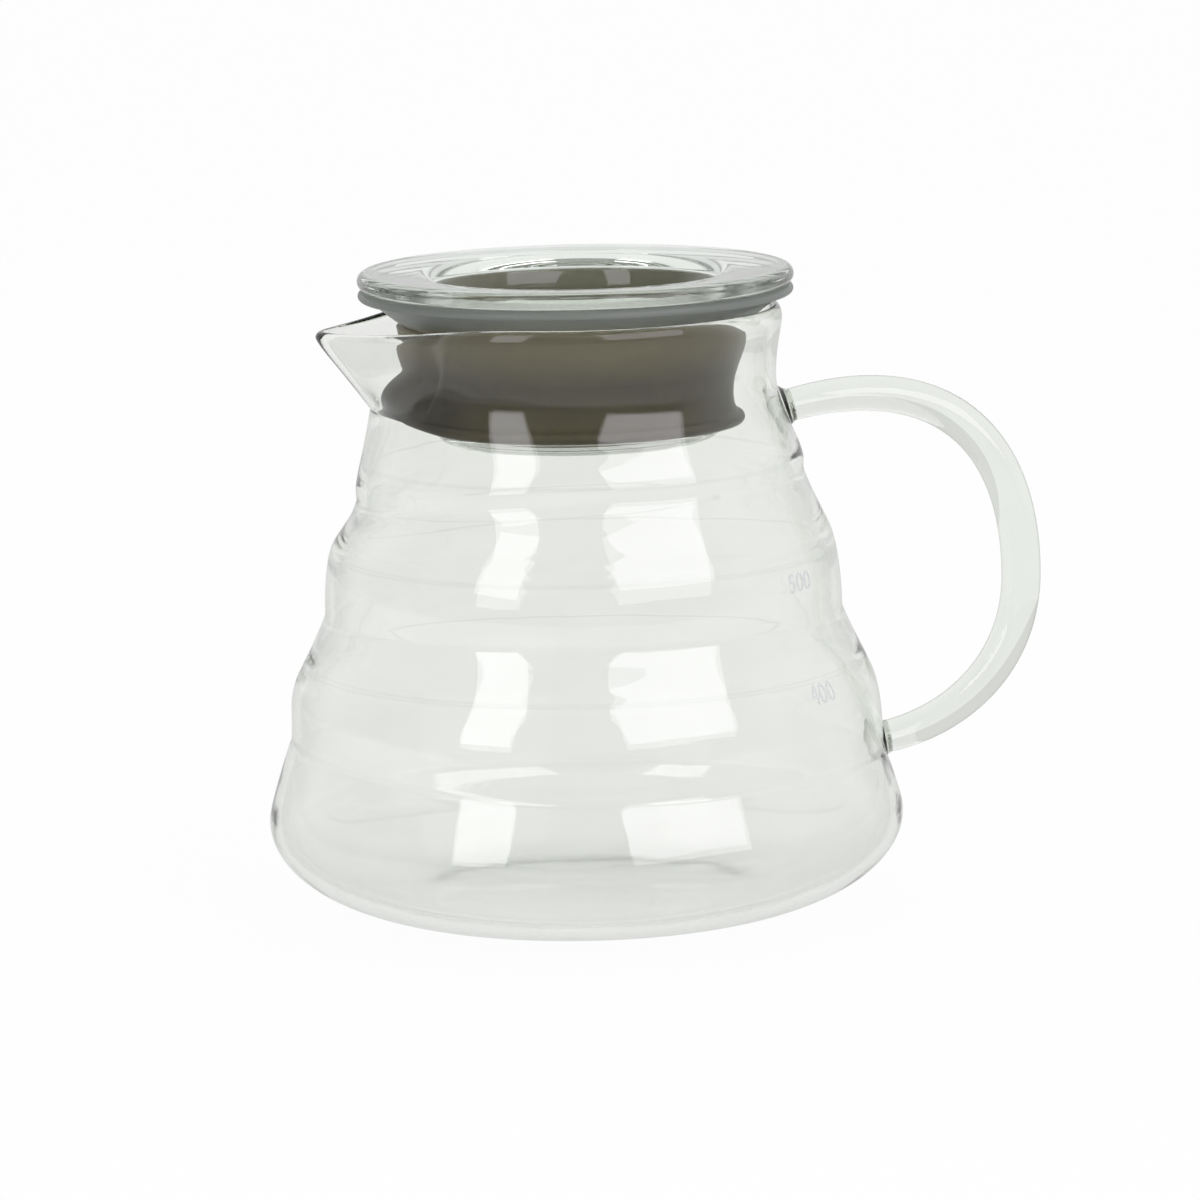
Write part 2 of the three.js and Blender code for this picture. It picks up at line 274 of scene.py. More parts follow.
def beak_share(angle: Array, round_radius: float, reach: float, nose: float) -> Array:
    """Share of a beak's reach at each angle from its point.

    In plan the beak's sides are straight and tangent to a circle, so the radius is the circle's radius
    over the cosine of the angle left to the tangent point. A hyperbola rounds the point.

    Args:
        angle: Angles from the point.
        round_radius: Radius of the circle.
        reach: Radius of the point.
        nose: Angle over which the point is rounded.

    Returns:
        1 at the point, falling to 0 at the circle.
    """
    half = math.acos(round_radius / reach)
    turn = np.minimum(np.hypot(angle, nose) - nose, half)
    return (round_radius / np.cos(half - turn) - round_radius) / (reach - round_radius)


def turned(radius: Array, height: Array, angle: Array) -> Array:
    """Points by angle from the spout at -X: minus radius times cosine, radius times sine, height."""
    return np.stack([-radius * np.cos(angle), radius * np.sin(angle), height], axis=-1)


def faces_between(below: Array, above: Array) -> list[list[int]]:
    """Faces of each point, the one above, that one's next round and the point's own next round."""
    corners = [below, above, np.roll(above, -1, axis=1), np.roll(below, -1, axis=1)]
    return np.stack(corners, axis=-1).reshape(-1, 4).tolist()


def skin(name: str, grid: Array, ends: Ends) -> Object:
    """Makes one closed smooth mesh of a grid whose second direction goes once round.

    Args:
        name: Name of the new object.
        grid: Points in millimetres, rows by columns by three.
        ends: Whether the first and last rows shrink to points or meet each other.

    Returns:
        The object, at the origin, linked to the scene.
    """
    rows, columns, _ = grid.shape
    index = np.arange(rows * columns).reshape(rows, columns)
    points = grid.reshape(-1, 3)
    triangles: list[list[int]] = []
    if ends is Ends.POLES:
        points = np.vstack([grid[0, :1], grid[1:-1].reshape(-1, 3), grid[-1, :1]])
        index = 1 + np.arange((rows - 2) * columns).reshape(rows - 2, columns)
        first, last = index[0], index[-1]
        pole = np.zeros(columns, int)
        start = np.column_stack([pole, first, np.roll(first, -1)])
        finish = np.column_stack([last, pole + len(points) - 1, np.roll(last, -1)])
        triangles = np.vstack([start, finish]).tolist()
        faces = faces_between(index[:-1], index[1:])
    else:
        faces = faces_between(index, np.roll(index, -1, axis=0))
    mesh = bpy.data.meshes.new(name)
    mesh.from_pydata((points * MM).tolist(), [], faces + triangles)
    mesh.validate()
    mesh.shade_smooth()
    return new_object(name, mesh)


def place(
    piece: Object, material: Material, body: Body, node: str | None = None
) -> None:
    """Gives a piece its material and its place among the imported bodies.

    Args:
        piece: The piece.
        material: Its finish.
        body: The body that it rides on.
        node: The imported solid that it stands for.
    """
    piece.data.materials.append(material)
    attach(piece, body.value)
    if node is not None:
        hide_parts(node)
    log.info("%s: %d faces, rides on %s", piece.name, len(piece.data.polygons), body.value)


@dataclass(frozen=True)
class GlassFinish:
    """Clear glass with the faint waves and clouds that its making leaves in it, and rings of painted
    shade.

    Colours are what its skins leave of white light, and lengths are in millimetres.
    """

    name: str
    tint: str
    cloud: str
    edge: str  # where the skin is met at a slant
    depth_colour: str  # what the depth of the glass turns towards
    density: float  # how fast it turns, per metre
    ior: float
    wave: float  # length of a wave
    flat: float  # how much longer the waves run round the axis than along it
    depth: float  # depth of a wave
    shade_rings: tuple[float, ...] = ()  # heights of rings of painted shade, standing in for the dark lines where the wall bends
    ring: str = WHITE
    ring_width: float = 0.3  # half the width of a ring
    ring_room: float = 2.0  # length of the ramp past the outermost rings
    edge_slant: Point = (0.55, 0.95)  # where the edge begins and is full: 0 face on, 1 side on

    def shade_ring_ramp(self, tree: NodeTree, where: NodeSocket) -> Node:
        """Colour of the rings of painted shade: a ramp along the height, white but for a narrow dip at
        each ring.

        Args:
            tree: The material's node tree.
            where: Place in the part's frame.

        Returns:
            The ramp.
        """
        low, high = min(self.shade_rings) - self.ring_room, max(self.shade_rings) + self.ring_room
        axes = add_node(tree, "SeparateXYZ", None, {0: where})
        along = add_node(
            tree, "MapRange", {"From Min": low * MM, "From Max": high * MM}, {"Value": axes.outputs["Z"]}
        )
        ramp = add_node(tree, "ValToRGB", None, {"Fac": along})
        stops = ramp.color_ramp.elements
        stops[0].color = stops[1].color = linear(WHITE)
        for height in sorted(self.shade_rings):
            for shift, colour in ((-1, WHITE), (0, self.ring), (1, WHITE)):
                stop = (height + shift * self.ring_width - low) / (high - low)
                stops.new(stop).color = linear(colour)
        return ramp

    def material(self) -> Material:
        """Makes the node material.

        One noise gives the waves as relief and the clouds as a mix of two tints. The edge's colour
        comes in where the skin is met at a slant, and the rings of painted shade multiply the whole.

        Returns:
            The material.
        """
        material, tree = new_material(self.name)
        node = partial(add_node, tree)
        where = node("TexCoord").outputs["Object"]
        stretch = node("Mapping", {"Scale": (1 / self.flat, 1 / self.flat, 1.0)}, {"Vector": where})
        waves = node(
            "TexNoise",
            {"Scale": 1 / (self.wave * MM), "Detail": 1.5, "Roughness": 0.4},
            {"Vector": stretch},
        )
        relief = node("Bump", {"Strength": 1.0, "Distance": self.depth * MM}, {"Height": waves})
        clouded = node(
            "Mix",
            {"data_type": "RGBA", MIX_A: linear(self.tint), MIX_B: linear(self.cloud)},
            {"Factor": waves},
        )
        slant = node("LayerWeight", {"Blend": 0.5})
        near_edge = node(
            "MapRange",
            {"From Min": self.edge_slant[0], "From Max": self.edge_slant[1]},
            {"Value": slant.outputs["Facing"]},
        )
        colour = node(
            "Mix", {"data_type": "RGBA", MIX_B: linear(self.edge)}, {"Factor": near_edge, MIX_A: clouded}
        )
        if self.shade_rings:
            colour = node(
                "Mix",
                {"data_type": "RGBA", "blend_type": "MULTIPLY", "Factor": 1.0},
                {MIX_A: colour, MIX_B: self.shade_ring_ramp(tree, where)},
            )
        shader = node(
            "BsdfPrincipled",
            {"Roughness": 0.0, "IOR": self.ior, "Transmission Weight": 1.0},
            {"Base Color": colour, "Normal": relief},
        )
        fill(tree, shader, self.depth_colour, self.density)
        return material


@dataclass(frozen=True)
class Fade:
    """A colour that comes in between two places in millimetres: heights, or distances from the axis."""

    colour: str
    start: float
    full: float

    def over(self, tree: NodeTree, under: Node, along: Node | NodeSocket) -> Node:
        """Lays the colour over another one.

        Args:
            tree: The material's node tree.
            under: The colour under it.
            along: Height or distance from the axis, in metres.

        Returns:
            The mixed colour.
        """
        share = add_node(
            tree, "MapRange", {"From Min": self.start * MM, "From Max": self.full * MM}, {"Value": along}
        )
        settings = {"data_type": "RGBA", MIX_B: linear(self.colour)}
        return add_node(tree, "Mix", settings, {"Factor": share, MIX_A: under})


@dataclass(frozen=True)
class SiliconeFinish:
    """Moulded grey silicone rubber: satin skin, cloudy light let through, painted light and painted shade.

    Lengths are in millimetres.
    """

    name: str
    deep: str  # at the foot
    pale: Fade  # under the flange, by height: painted light, paler towards the top where light from above falls
    tongue_shade: Fade  # in the tongue, by distance from the axis: painted shade, where little light reaches it
    flange_light: Fade  # on the flange, by height: painted light, where light falls on it through the lid
    bore: Fade  # in the bore, by distance from the axis: painted light for the rubber's glow, lit from behind
    depth_colour: str  # what the depth of the rubber turns towards
    density: float  # how fast it turns, per metre
    clear: float  # share of the light that goes through and not back
    roughness: Point  # least and greatest
    mottle: float  # width of the patches
    patchy: float  # how far the patches shift the change from deep to pale
    grain: float  # width of the mould's grain
    grain_depth: float
    ior: float

    def colour(self, tree: NodeTree, where: NodeSocket, clouds: Node) -> Node:
        """Colour of the rubber: deep to pale up the wall as painted light, with patches, then each fade
        over that.

        Args:
            tree: The material's node tree.
            where: Place in the part's frame.
            clouds: Noise of the patches.

        Returns:
            The colour.
        """
        node = partial(add_node, tree)
        height = node("SeparateXYZ", None, {0: where}).outputs["Z"]
        level = node("VectorMath", {"operation": "MULTIPLY", 1: (1.0, 1.0, 0.0)}, {0: where})
        away = node("VectorMath", {"operation": "LENGTH"}, {0: level})
        # painted light: the climb from deep to pale makes the wall paler towards the top
        climb = node(
            "MapRange",
            {
                "From Min": self.pale.start * MM,
                "From Max": self.pale.full * MM,
                "To Min": -self.patchy / 2,
                "To Max": 1 - self.patchy / 2,
            },
            {"Value": height},
        )
        cloudy = node(
            "Math", {"operation": "MULTIPLY_ADD", "use_clamp": True, 1: self.patchy}, {0: clouds, 2: climb}
        )
        colour = node(
            "Mix",
            {"data_type": "RGBA", MIX_A: linear(self.deep), MIX_B: linear(self.pale.colour)},
            {"Factor": cloudy},
        )
        # painted shade in the tongue, painted light on the flange and in the bore
        for fade, along in ((self.tongue_shade, away), (self.flange_light, height), (self.bore, away)):
            colour = fade.over(tree, colour, along)
        return colour

    def material(self) -> Material:
        """Makes the node material.

        Returns:
            The material.
        """
        material, tree = new_material(self.name)
        node = partial(add_node, tree)
        where = node("TexCoord").outputs["Object"]
        clouds, grain = (
            node("TexNoise", {"Scale": 1 / (width * MM), "Detail": detail}, {"Vector": where})
            for width, detail in ((self.mottle, 3.0), (self.grain, 2.0))
        )
        gloss = node(
            "MapRange", {"To Min": self.roughness[0], "To Max": self.roughness[1]}, {"Value": clouds}
        )
        relief = node("Bump", {"Strength": 0.3, "Distance": self.grain_depth * MM}, {"Height": grain})
        shader = node(
            "BsdfPrincipled",
            {"IOR": self.ior, "Transmission Weight": self.clear},
            {"Base Color": self.colour(tree, where, clouds), "Roughness": gloss, "Normal": relief},
        )
        fill(tree, shader, self.depth_colour, self.density)
        return material


@dataclass(frozen=True)
class EnamelFinish:
    """Grey ceramic enamel, screen-printed and fired on: matt, thin and slightly uneven.

    The ink is the colour where the print is full, and the worn colour shows where it is thin.
    """

    name: str
    ink: str
    worn: str
    speck: float  # width of its uneven specks in millimetres

    def material(self) -> Material:
        """Makes the node material.

        Returns:
            The material.
        """
        material, tree = new_material(self.name)
        node = partial(add_node, tree)
        specks = node(
            "TexNoise",
            {"Scale": 1 / (self.speck * MM), "Detail": 2.0},
            {"Vector": node("TexCoord").outputs["Object"]},
        )
        colour = node(
            "Mix",
            {"data_type": "RGBA", MIX_A: linear(self.ink), MIX_B: linear(self.worn)},
            {"Factor": specks},
        )
        shader = node("BsdfPrincipled", {"Roughness": 0.55, "IOR": 1.5}, {"Base Color": colour})
        node("OutputMaterial", None, {"Surface": shader})
        return material


@dataclass(frozen=True)
class PaperFinish:
    """White seamless paper that stays white behind the object and still takes its shadow."""

    name: str
    colour: str
    shine: float  # share of plain white that a look at the paper sees
    mirrored: float  # brightness of the paper in a reflection

    def material(self) -> Material:
        """Makes the node material.

        Rays from the camera, off a skin or through glass see mostly plain white, and other rays see
        paper.

        Returns:
            The material.
        """
        material, tree = new_material(self.name)
        node = partial(add_node, tree)
        rays = node("LightPath").outputs
        seen = node("Math", {"operation": "ADD"}, {0: rays["Is Camera Ray"], 1: rays["Is Glossy Ray"]})
        through = node(
            "Math", {"operation": "ADD", "use_clamp": True}, {0: seen, 1: rays["Is Transmission Ray"]}
        )
        share = node("Math", {"operation": "MULTIPLY", 1: self.shine}, {0: through})
        level = node(
            "MapRange", {"To Min": 1.0, "To Max": self.mirrored}, {"Value": rays["Is Reflection Ray"]}
        )
        paper = node("BsdfDiffuse", {"Color": linear(self.colour)})
        white = node("Emission", None, {"Strength": level})
        mixed = node("MixShader", None, {0: share, 1: paper, 2: white})
        node("OutputMaterial", None, {"Surface": mixed})
        return material


# Blown borosilicate: clear, faintly grey-green through two walls, with waves drawn round the axis by
# the turning mould, and rings of painted shade for the dark lines where the wall bends at its tool lines
BLOWN_GLASS = GlassFinish(
    "blown_borosilicate_glass",
    tint="#F9FAF9",
    cloud="#F4F5F2",
    edge="#D1D6CF",
    depth_colour="#BCC5B1",
    density=22.0,
    ior=1.473,
    wave=8.0,
    flat=2.0,
    depth=0.12,
    # painted shade: darker rings at the tool lines, for the dark lines where the wall bends
    shade_rings=(83.6, 66.9, 46.2),
    ring="#F2F4F2",
)

# Drawn borosilicate rod: the wall's glass, greener because it is seen through more of it
DRAWN_GLASS = GlassFinish(
    "drawn_borosilicate_rod",
    tint="#F2F5F0",
    cloud="#EAEDE8",
    edge="#BCC3B9",
    depth_colour="#BCC5B1",
    density=12.0,
    ior=1.473,
    wave=9.0,
    flat=1.0,
    depth=0.05,
)

# Pressed soda-lime glass: thicker and greener, with rounder waves from the press
PRESSED_GLASS = GlassFinish(
    "pressed_soda_lime_glass",
    tint="#F2F5F1",
    cloud="#EAF0E9",
    edge="#E4EBE3",
    depth_colour="#BAC6B4",
    density=4.0,
    ior=1.52,
    wave=11.0,
    flat=1.5,
    depth=0.04,
)

# Moulded silicone: dark warm grey with a satin skin; painted light up the wall, on the flange and in the
# bore, painted shade in the tongue
GREY_SILICONE = SiliconeFinish(
    "moulded_grey_silicone",
    deep="#5C5130",
    # painted light: paler up the wall, as light from above falls on it
    pale=Fade("#A69A70", 100.5, 107.0),
    # painted shade: near black in the tongue
    tongue_shade=Fade("#15130D", 33.2, 37.5),
    # painted light: pale on the flange, under the lid
    flange_light=Fade("#C2CAC3", 109.0, 112.0),
    # painted light: pale in the bore, for the glow of the rubber lit from behind
    bore=Fade("#EDE5CC", 27.8, 27.4),
    depth_colour="#7A7055",
    density=150.0,
    clear=0.65,
    roughness=(0.32, 0.46),
    mottle=9.0,
    patchy=0.4,
    grain=0.6,
    grain_depth=0.02,
    ior=1.41,
)

# Fired enamel: pale cool grey and matt, a little uneven where the print is thin
GREY_ENAMEL = EnamelFinish("fired_grey_enamel", ink="#D6DCDA", worn="#E6EAE8", speck=0.5)

# Seamless paper: even and matt, white to the eye
WHITE_PAPER = PaperFinish("white_seamless_paper", colour="#F4F4F2", shine=0.97, mirrored=0.72)


@dataclass(frozen=True)
class Weld:
    """Point on the outer wall where the rod is fused, and the unit direction in which it leaves."""

    foot: Array
    way: Array


@dataclass(frozen=True)
class HandWork:
    """One uneven place that hand work left on the spout's side of the blown wall."""

    height: float  # its middle
    width: float  # half the height that it takes up
    lift: float  # how far it shifts the wall up
    swell: float  # how far it moves the wall out


@dataclass(frozen=True)
class PotSizes:
    """Sizes of the pot's wall in millimetres, the belly's lean in degrees and other angles in radians.

    Creases, swell and neck are radius and height. A weld is its height and the tilt of its rod. A tier's
    guides are the share of its rise that starts upright, and the shares of its width and rise that lean
    in to the crease above. Fillets are the lengths of a crease's rounding above and below it, lowest
    crease first. A tool line is its height and half width.
    """

    height: float = 110.6
    foot_radius: float = 29.0
    floor: float = 1.5
    wall: float = 1.8
    belly_radius: float = 59.0
    belly_height: float = 17.0
    belly_upright: float = 1.6
    belly_lean: float = 22.0
    belly_arm: float = 5.0
    lower_crease: Point = (55.5, 28.6)
    middle_crease: Point = (48.2, 54.6)
    upper_crease: Point = (41.2, 80.5)
    lower_guides: tuple[float, float, float] = (0.46, 0.75, 0.43)
    middle_guides: tuple[float, float, float] = (0.40, 0.74, 0.41)
    fillets: tuple[Point, Point, Point] = ((0.4, 0.4), (1.0, 11.0), (1.0, 11.0))
    inner_fillets: tuple[Point, Point, Point] = ((1.0, 1.0), (2.0, 2.0), (2.0, 2.0))
    neck_swell: Point = (42.2, 86.0)
    neck: Point = (36.65, 98.5)
    neck_guide: float = 0.39
    rim_radius: float = 37.9
    rim_guides: Point = (0.5, 0.85)
    rim_bead: float = 2.3
    rim_lip: float = 1.4
    spout_reach: float = 48.2
    spout_depth: float = 16.0
    spout_bulge: float = 0.75
    spout_sag: float = 2.9
    spout_sag_angle: float = 1.2
    spout_nose: float = 0.09
    rod_end: float = 6.0
    weld_length: float = 2.1
    weld_flare: float = 5.0
    weld_guide: float = 0.2
    weld_soft: float = 0.25
    weld_room: float = 12.0
    upper_weld: Point = (91.5, 0.247)
    lower_weld: Point = (28.3, 0.149)
    tool_lines: tuple[Point, ...] = ((83.6, 0.7), (68.9, 0.6), (66.8, 0.6), (46.3, 0.7))
    outer_tool_depth: float = 0.05
    inner_tool_depth: float = 0.1
    hand_work: tuple[HandWork, ...] = (
        HandWork(height=95.0, width=6.0, lift=0.0, swell=1.1),
        HandWork(height=80.5, width=10.0, lift=-4.5, swell=0.0),
        HandWork(height=54.0, width=24.0, lift=0.0, swell=-0.6),
        HandWork(height=30.5, width=8.0, lift=3.8, swell=-0.9),
    )


@dataclass
class PotBody:
    """Blown pot: stepped wall, neck, rolled rim, pulled spout and two weld bosses."""

    sizes: PotSizes = field(default_factory=PotSizes)
    columns: int = 272
    outer_rows: int = 200
    inner_rows: int = 130
    crown_rows: tuple[int, int] = (24, 12)
    weld_bell: float = 6.0
    spout_gain: float = 3.0
    handle_gain: float = 4.0

    def wall(
        self,
        inset: float,
        floor: float,
        rim_inset: float,
        lip: float,
        fillets: Sequence[Point],
        tool: float,
    ) -> Array:
        """Half section of the wall from the axis to the rim.

        A line, a quarter ellipse and a cubic curve make the base. Each tier is a cubic curve that starts
        upright and leans in to the next crease, and each crease is a quadratic curve. The neck is a
        cubic curve, and another one flares to the rim. A bell at each tool line is added to the radius.

        Args:
            inset: How far the section is drawn in.
            floor: Height of its floor.
            rim_inset: How far its top is drawn in.
            lip: How far below the rim it ends.
            fillets: Length of each crease's rounding above and below it.
            tool: How far a tool line stands out.

        Returns:
            Rows of radius and height.
        """
        s = self.sizes
        foot = s.foot_radius - inset
        belly = (s.belly_radius - inset, s.belly_height)
        radii = (s.belly_radius - s.foot_radius, s.belly_height - floor)
        creases = (s.lower_crease, s.middle_crease, s.upper_crease)
        corners = [(radius - inset, height) for radius, height in creases]
        lean, arm = math.radians(s.belly_lean), s.belly_arm
        guide = (corners[0][0] + arm * math.sin(lean), corners[0][1] - arm * math.cos(lean))
        end = towards(corners[0], guide, fillets[0][1])
        runs = [
            bezier([(0.0, floor), (foot, floor)]),
            arc((foot, s.belly_height), radii, -0.5, 0.0, SHORT_RUN),
            bezier([belly, (belly[0], belly[1] + s.belly_upright), guide, end], SHORT_RUN),
        ]
        guides = (s.lower_guides, s.middle_guides)
        tiers = zip(corners, corners[1:], guides, fillets, fillets[1:])
        for start, stop, (up, out, down), (above, _), (_, below) in tiers:
            rise = stop[1] - start[1]
            upright = (start[0], start[1] + up * rise)
            shoulder = (stop[0] + out * (start[0] - stop[0]), stop[1] - down * rise)
            leave = towards(start, upright, above)
            runs.append(bezier([end, start, leave], SHORT_RUN))
            end = towards(stop, shoulder, below)
            runs.append(bezier([leave, upright, shoulder, end], LONG_RUN))
        top = corners[-1]
        waist, neck = s.neck[0] - inset, s.neck[1]
        swell = (s.neck_swell[0] - inset, s.neck_swell[1])
        leave = towards(top, swell, fillets[-1][0])
        fall = neck - s.neck_guide * (neck - top[1])
        rim, rise = s.rim_radius - rim_inset, s.height - lip - neck
        low, high = (neck + share * rise for share in s.rim_guides)
        runs += [
            bezier([end, top, leave], SHORT_RUN),
            bezier([leave, swell, (waist, fall), (waist, neck)], LONG_RUN),
            bezier([(waist, neck), (waist, low), (rim, high), (rim, neck + rise)]),
        ]
        path = np.vstack(runs)
        for height, width in s.tool_lines:
            path[:, 0] += tool * bell(path[:, 1], height, width)
        return path

    def outer_wall(self, lip: float = 0.0) -> Array:
        """Half section of the outer face, up to a lip's height below the rim."""
        return self.wall(0.0, 0.0, 0.0, lip, self.sizes.fillets, self.sizes.outer_tool_depth)

    def inner_wall(self) -> Array:
        """Half section of the inner face."""
        s = self.sizes
        return self.wall(s.wall, s.floor, s.rim_bead, 0.0, s.inner_fillets, -s.inner_tool_depth)

    def radius_at(self, wall: Array, height: Array | float) -> Array:
        """Radius of a wall at heights above its belly."""
        upper = wall[wall[:, 1] > self.sizes.belly_height]
        return np.interp(height, upper[:, 1], upper[:, 0])

    def weld(self, place_and_tilt: Point) -> Weld:
        """Finds where a weld stands on the outer wall and the way its rod leaves.

        Args:
            place_and_tilt: The weld's height and its rod's tilt.

        Returns:
            The weld.
        """
        height, tilt = place_and_tilt
        radius = float(self.radius_at(self.outer_wall(), height))
        way = np.array([math.cos(tilt), 0.0, math.sin(tilt)])
        return Weld(np.array([radius, 0.0, height]), way)

    def pulled(self, points: Array, weld: Weld) -> Array:
        """Pulls a boss out of the wall along a weld's way.

        The boss has a flat end of the rod's size and a flare that is a quadratic curve of the distance
        from its axis. A wall point moves along the way to the boss's face where that lies outside the
        wall, with a soft maximum so that the two melt together.

        Args:
            points: Wall points in millimetres, in a last axis of three.
            weld: The weld.

        Returns:
            The moved points.
        """
        s = self.sizes
        offset = points - weld.foot
        along = offset @ weld.way
        away = np.linalg.norm(offset - along[..., None] * weld.way, axis=-1)
        share = 1 - np.sqrt(np.clip((away - s.rod_end / 2) / s.weld_flare, 0, 1))
        rest = 1 - share
        face = s.weld_length * (share**2 + 2 * s.weld_guide * share * rest - rest**2)
        lift = face - along
        raised = (lift + np.sqrt(lift**2 + s.weld_soft**2)) / 2 - s.weld_soft / 2
        near = (away < s.rod_end / 2 + s.weld_flare) & (offset[..., 0] > -s.weld_room)
        return points + np.where(near, np.maximum(raised, 0), 0)[..., None] * weld.way

    def section(self, lip: float) -> Array:
        """Whole half section: outer wall, elliptical outer crown, round inner crown and inner wall.

        Args:
            lip: Height of the outer crown past a half circle's, which makes the rim look rolled.

        Returns:
            Rows of radius and height.
        """
        s = self.sizes
        bead = s.rim_bead / 2
        middle = s.rim_radius - bead
        outer_crown, inner_crown = self.crown_rows
        welds = [(s.upper_weld[0], self.weld_bell), (s.lower_weld[0], self.weld_bell)]
        runs = [
            spread(self.outer_wall(lip), self.outer_rows, welds),
            arc((middle, s.height - lip), (bead, bead + lip), 0, 0.5, outer_crown)[1:],
            arc((middle, s.height), (bead, bead), 0.5, 1, inner_crown)[1:-1],
            spread(self.inner_wall()[::-1], self.inner_rows),
        ]
        return np.vstack(runs)

    def build(self) -> Object:
        """Turns the section round the axis, draws out the spout and pulls the bosses.

        The rim is rolled, and bare at the spout: the two sections are mixed by the root of the beak's
        share. The spout leans out by that share and sags by a squared cosine. Hand work moves the wall
        by bells of the height times the squared cosine of the angle from the spout.

        Returns:
            The pot.
        """
        s = self.sizes
        rolled, bare = self.section(s.rim_lip), self.section(0.0)
        angle = spread_angles(self.columns, self.spout_gain, self.handle_gain)
        share = beak_share(angle, s.rim_radius, s.spout_reach, s.spout_nose)
        fade = np.sqrt(share)
        radius, height = (rolled[:, k, None] * (1 - fade) + bare[:, k, None] * fade for k in (0, 1))
        rise = np.clip((height - s.height + s.spout_depth) / s.spout_depth, 0, 1)
        lean = rise * (1 + s.spout_bulge * (1 - rise))
        turn = np.minimum(1, np.abs(angle) / s.spout_sag_angle)
        sag = s.spout_sag * (np.cos(turn * math.pi / 2) * rise) ** 2
        beak = share * lean * (s.spout_reach - s.rim_radius)
        side = np.maximum(np.cos(angle), 0) ** 2
        out = sum(work.swell * bell(height, work.height, work.width) for work in s.hand_work)
        up = sum(work.lift * bell(height, work.height, work.width) for work in s.hand_work)
        grid = turned(radius + beak + side * out, height - sag + side * up, angle)
        for weld in (self.weld(s.upper_weld), self.weld(s.lower_weld)):
            grid[: self.outer_rows] = self.pulled(grid[: self.outer_rows], weld)
        return skin("blown_pot", grid, Ends.POLES)

    def dress(self, piece: Object) -> None:
        """Gives the pot its glass and its body."""
        place(piece, BLOWN_GLASS.material(), Body.POT, "pot_body")


@dataclass
class Handle:
    """Bent glass rod, thinner at its ends, sunk into the pot's two bosses, as fused glass is.

    A pair of guides is the share of the reach that leaves a weld straight, and the share of the way to
    the bow where the line is upright.
    """

    pot: PotBody
    rod: float = 7.4
    reach: float = 83.1
    bow_height: float = 58.7
    upper_guides: Point = (0.65, 0.79)
    lower_guides: Point = (0.48, 0.61)
    sink: float = 1.5
    edge: float = 0.15
    edge_rows: int = 8
    rows: int = 180
    columns: int = 56

    def arm(self, weld: Weld, guides: Point) -> Array:
        """Half of the centre line: a cubic curve that leaves a boss straight and ends upright.

        Args:
            weld: The weld that it starts from.
            guides: Its pair of guides.

        Returns:
            Rows of X and Z in millimetres, from the weld to the bow.
        """
        run, drop = guides
        end = weld.foot + weld.way * (self.pot.sizes.weld_length - self.sink)
        guide = end + weld.way * run * (self.reach - end[0]) / weld.way[0]
        upright = (self.reach, self.bow_height + drop * (end[2] - self.bow_height))
        bow = (self.reach, self.bow_height)
        return bezier([(end[0], end[2]), (guide[0], guide[2]), upright, bow], LONG_RUN)

    def line(self) -> Array:
        """Centre line from the upper weld to the lower one.

        Returns:
            Rows of X and Z in millimetres.
        """
        s = self.pot.sizes
        upper = self.arm(self.pot.weld(s.upper_weld), self.upper_guides)
        return np.vstack([upper, self.arm(self.pot.weld(s.lower_weld), self.lower_guides)[-2::-1]])

    def build(self) -> Object:
        """Carries a circle along the centre line.

        Its radius swells from the ends to the middle as the sine of the way along, and at each end it
        closes by a quarter circle and a flat face.

        Returns:
            The rod.
        """
        line = self.line()
        length = np.concatenate([[0], np.cumsum(np.linalg.norm(np.diff(line, axis=0), axis=1))])
        total = length[-1]
        quarter = np.linspace(0, math.pi / 2, self.edge_rows)
        start = self.edge * (1 - np.cos(quarter))
        between = np.linspace(self.edge, total - self.edge, self.rows)[1:-1]
        along = np.concatenate([start, between, total - start[::-1]])
        trim = self.edge * (1 - np.sin(quarter))
        rod_end = self.pot.sizes.rod_end
        radius = (rod_end + (self.rod - rod_end) * np.sin(math.pi * along / total)) / 2
        radius[: len(trim)] -= trim
        radius[-len(trim) :] -= trim[::-1]
        along = np.concatenate([[0.0], along, [total]])
        radius = np.concatenate([[0.0], radius, [0.0]])[:, None]
        x, z = (np.interp(along, length, line[:, k])[:, None] for k in (0, 1))
        heading = np.unwrap(np.arctan2(*np.gradient(line, length, axis=0).T[::-1]))
        heading = np.interp(along, length, heading)[:, None]
        turn = np.linspace(0, 2 * math.pi, self.columns, endpoint=False)
        out, side = radius * np.cos(turn), radius * np.sin(turn)
        grid = np.stack([x - out * np.sin(heading), side, z + out * np.cos(heading)], axis=-1)
        return skin("glass_handle", grid, Ends.POLES)

    def dress(self, piece: Object) -> None:
        """Gives the rod its glass and its body."""
        place(piece, DRAWN_GLASS.material(), Body.POT, "handle")


